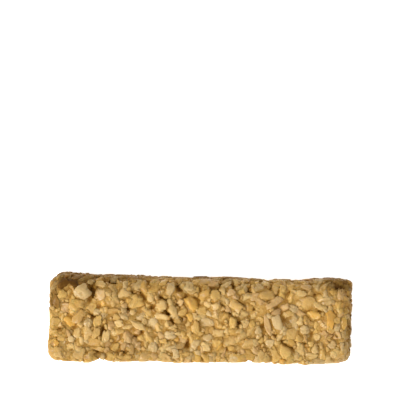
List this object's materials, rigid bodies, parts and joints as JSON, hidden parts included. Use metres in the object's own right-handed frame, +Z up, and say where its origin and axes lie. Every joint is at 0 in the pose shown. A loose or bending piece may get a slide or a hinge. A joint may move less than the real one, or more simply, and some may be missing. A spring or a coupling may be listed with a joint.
{
  "type": "energy bar",
  "caption": "Unwrapped oblong energy bar of chopped nuts, puffed cereal and bits of dried fruit, bound with syrup and pressed flat, lying on its broad face.",
  "frame": {"origin": "middle of the flat base, on the surface that the bar lies on", "axes": "+X along the bar, +Y across it towards its back long side, +Z up out of the broad face that shows"},
  "size_m": [0.104, 0.03, 0.016],
  "materials": {
    "pressed_bar": "chopped nuts and cereal in toasted tan, cream and honey brown, with a thin sticky syrup that shines a little on the tops of the bits"
  },
  "bodies": {
    "root": {"pressed_bar": "pressed_bar"}
  },
  "joints": []
}
